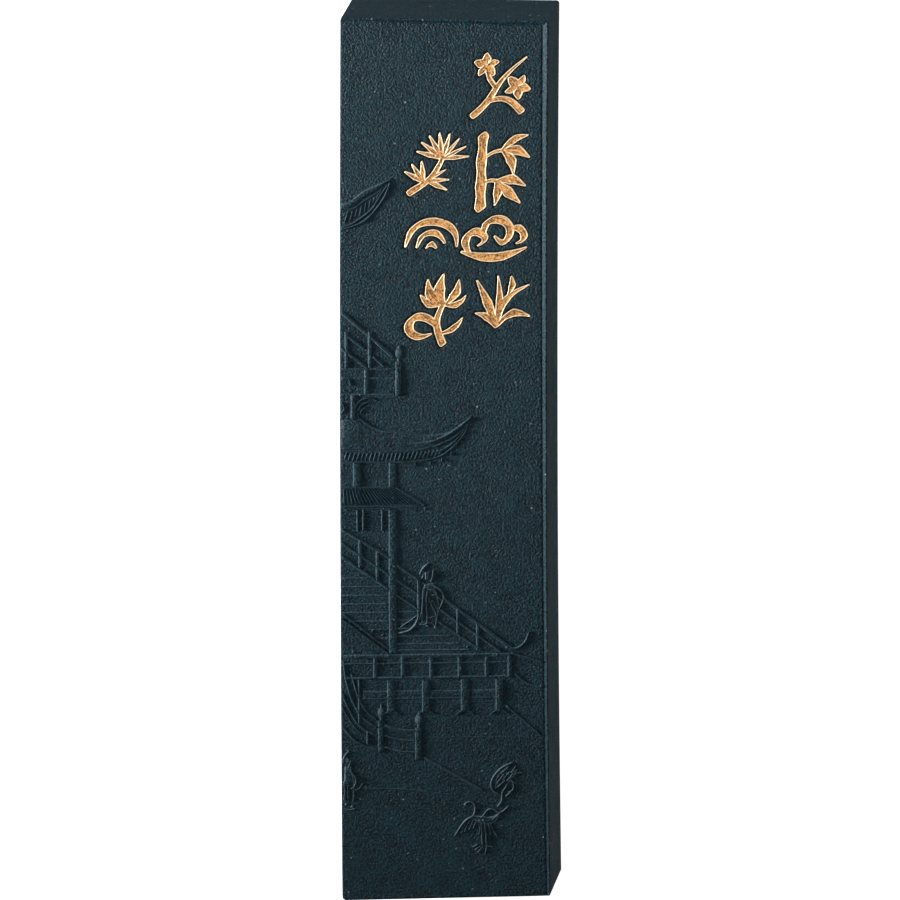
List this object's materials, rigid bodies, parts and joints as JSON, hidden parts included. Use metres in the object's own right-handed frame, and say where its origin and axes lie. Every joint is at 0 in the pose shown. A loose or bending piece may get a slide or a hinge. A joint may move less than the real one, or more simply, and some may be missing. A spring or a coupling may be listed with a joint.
{
  "type": "ink stick",
  "caption": "Oblong stick of pressed black ink with a recessed face, a pavilion scene in low relief and gilded brush marks.",
  "frame": {"origin": "middle of the block's back face, on the surface that the stick lies on", "axes": "+X to the right across the picture face, +Y along the length towards the top end, +Z out of the picture face"},
  "size_m": [0.031, 0.135, 0.014],
  "materials": {
    "pressed_ink": "matte blue-black soot and glue, pressed in a carved wooden mould and air dried",
    "gold_paint": "brushed gold powder paint, satin, paler along the edges"
  },
  "bodies": {
    "root": {"ink_block": "pressed_ink", "gilt_plum_branch": "gold_paint", "gilt_bamboo": "gold_paint", "gilt_cloud": "gold_paint", "gilt_orchid": "gold_paint", "gilt_pine": "gold_paint", "gilt_waves": "gold_paint", "gilt_lotus": "gold_paint"}
  },
  "joints": []
}
